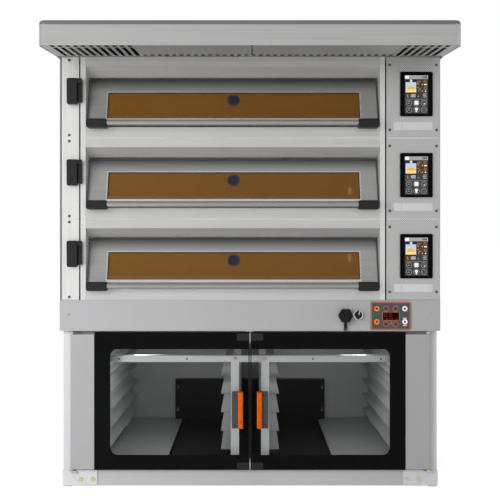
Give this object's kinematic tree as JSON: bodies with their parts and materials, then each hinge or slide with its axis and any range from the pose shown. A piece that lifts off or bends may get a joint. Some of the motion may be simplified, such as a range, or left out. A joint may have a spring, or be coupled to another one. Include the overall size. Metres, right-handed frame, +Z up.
{
  "type": "deck oven",
  "caption": "Electric deck oven: stacked glass-fronted baking chambers with damper levers and touch controls, a canopy hood above and a glass-doored prover below.",
  "frame": {"origin": "on the floor, at the middle of the bounding box", "axes": "+Z up, -Y towards the user at the door side, +X to the user's right"},
  "size_m": [1.625, 1.455, 1.941],
  "materials": {
    "brushed_stainless": "vertical and horizontal brushed stainless sheet",
    "dimpled_stainless": "fine dimple-embossed stainless sheet",
    "bright_steel": "bright stainless",
    "light_paint": "light grey powder coat",
    "prover_lining": "mid grey coated lining",
    "yellow_zinc": "yellow passivated zinc",
    "black_enamel": "black enamel",
    "dark_grey_plastic": "dark grey moulded plastic",
    "orange_plastic": "orange moulded plastic",
    "black_plastic": "black heat-resistant moulding",
    "black_rubber": "black rubber",
    "black_gloss": "gloss black",
    "aluminised_steel": "heat-tinted aluminised steel",
    "hearth_stone": "refractory stone",
    "element_sheath": "dark incoloy sheath",
    "lamp_glass": "lit halogen lamp behind glass",
    "mineral_wool": "mineral wool slab",
    "bronze_glass": "bronze-tinted heat-reflecting glass",
    "clear_glass": "clear tempered glass with a black printed border"
  },
  "bodies": {
    "oven": {"prover_posts": "light_paint", "base_rails": "light_paint", "corner_brackets": "light_paint", "zinc_bolts": "yellow_zinc", "door_fittings": "bright_steel", "prover_panels": "prover_lining", "rack_frame": "light_paint", "tray_runners": "brushed_stainless", "prover_humidifier": "black_enamel", "plinth_cabinet": "light_paint", "prover_control_panel": "dark_grey_plastic", "service_socket": "black_plastic", "socket_strap": "black_rubber", "selector_bezel": "bright_steel", "deck_casings": "brushed_stainless", "deck_front_frames": "brushed_stainless", "service_panels": "light_paint", "control_panels": "dimpled_stainless", "panel_screws": "bright_steel", "touchscreens": "black_gloss", "chamber_liners": "aluminised_steel", "hearth_stones": "hearth_stone", "heating_elements": "element_sheath", "chamber_lamps": "lamp_glass", "insulation": "mineral_wool", "steam_flue": "aluminised_steel", "lever_brackets": "black_plastic", "hood_canopy": "brushed_stainless", "hood_grille": "brushed_stainless", "hood_baffles": "brushed_stainless"},
    "lower_door": {"lower_door_frame": "brushed_stainless", "lower_door_glass": "bronze_glass", "lower_handle_bar": "bright_steel", "lower_handle_grips": "black_plastic"},
    "lower_lever": {"lower_steam_lever": "black_plastic"},
    "lower_gate": {"lower_steam_gate": "aluminised_steel"},
    "middle_door": {"middle_door_frame": "brushed_stainless", "middle_door_glass": "bronze_glass", "middle_handle_bar": "bright_steel", "middle_handle_grips": "black_plastic"},
    "middle_lever": {"middle_steam_lever": "black_plastic"},
    "middle_gate": {"middle_steam_gate": "aluminised_steel"},
    "upper_door": {"upper_door_frame": "brushed_stainless", "upper_door_glass": "bronze_glass", "upper_handle_bar": "bright_steel", "upper_handle_grips": "black_plastic"},
    "upper_lever": {"upper_steam_lever": "black_plastic"},
    "upper_gate": {"upper_steam_gate": "aluminised_steel"},
    "left_prover_door": {"left_door_stile": "light_paint", "left_door_glass": "clear_glass", "left_catch_plates": "black_plastic", "left_door_handle": "dark_grey_plastic", "left_handle_grip": "orange_plastic"},
    "right_prover_door": {"right_door_stile": "light_paint", "right_door_glass": "clear_glass", "right_catch_plates": "black_plastic", "right_door_handle": "dark_grey_plastic", "right_handle_grip": "orange_plastic"},
    "selector": {"selector_knob": "black_gloss"},
    "socket_cover": {"socket_cap": "black_rubber"}
  },
  "joints": [
    {"name": "lower_door_hinge", "type": "hinge", "parent": "oven", "child": "lower_door", "pos_m": [-0.07, -0.3505, 1.042], "axis": [-1, 0, 0], "range_deg": [0, 72]},
    {"name": "lower_lever_hinge", "type": "hinge", "parent": "oven", "child": "lower_lever", "pos_m": [-0.74275, -0.4405, 1.027], "axis": [-1, 0, 0], "range_deg": [0, 70]},
    {"name": "lower_gate_slide", "type": "slide", "parent": "oven", "child": "lower_gate", "axis": [0, -1, 0], "range_m": [0, 0.06]},
    {"name": "middle_door_hinge", "type": "hinge", "parent": "oven", "child": "middle_door", "pos_m": [-0.07, -0.3505, 1.382], "axis": [-1, 0, 0], "range_deg": [0, 72]},
    {"name": "middle_lever_hinge", "type": "hinge", "parent": "oven", "child": "middle_lever", "pos_m": [-0.74275, -0.4405, 1.367], "axis": [-1, 0, 0], "range_deg": [0, 70]},
    {"name": "middle_gate_slide", "type": "slide", "parent": "oven", "child": "middle_gate", "axis": [0, -1, 0], "range_m": [0, 0.06]},
    {"name": "upper_door_hinge", "type": "hinge", "parent": "oven", "child": "upper_door", "pos_m": [-0.07, -0.3505, 1.722], "axis": [-1, 0, 0], "range_deg": [0, 72]},
    {"name": "upper_lever_hinge", "type": "hinge", "parent": "oven", "child": "upper_lever", "pos_m": [-0.74275, -0.4405, 1.707], "axis": [-1, 0, 0], "range_deg": [0, 70]},
    {"name": "upper_gate_slide", "type": "slide", "parent": "oven", "child": "upper_gate", "axis": [0, -1, 0], "range_m": [0, 0.06]},
    {"name": "left_prover_door_hinge", "type": "hinge", "parent": "oven", "child": "left_prover_door", "pos_m": [-0.748, -0.4115, 0.36], "axis": [0, 0, -1], "range_deg": [0, 110]},
    {"name": "right_prover_door_hinge", "type": "hinge", "parent": "oven", "child": "right_prover_door", "pos_m": [0.748, -0.4115, 0.36], "axis": [0, 0, 1], "range_deg": [0, 110]},
    {"name": "selector_turn", "type": "hinge", "parent": "oven", "child": "selector", "pos_m": [0.454, -0.4225, 0.728], "axis": [0, 1, 0], "range_deg": [0, 90]},
    {"name": "socket_cap_turn", "type": "hinge", "parent": "oven", "child": "socket_cover", "pos_m": [0.4, -0.4225, 0.7255], "axis": [0, -1, 0], "range_deg": [0, 45]}
  ],
  "couplings": [
    {"joint": "lower_gate_slide", "follows": "lower_lever_hinge", "m_per_rad": 0.04903},
    {"joint": "middle_gate_slide", "follows": "middle_lever_hinge", "m_per_rad": 0.04903},
    {"joint": "upper_gate_slide", "follows": "upper_lever_hinge", "m_per_rad": 0.04903}
  ]
}
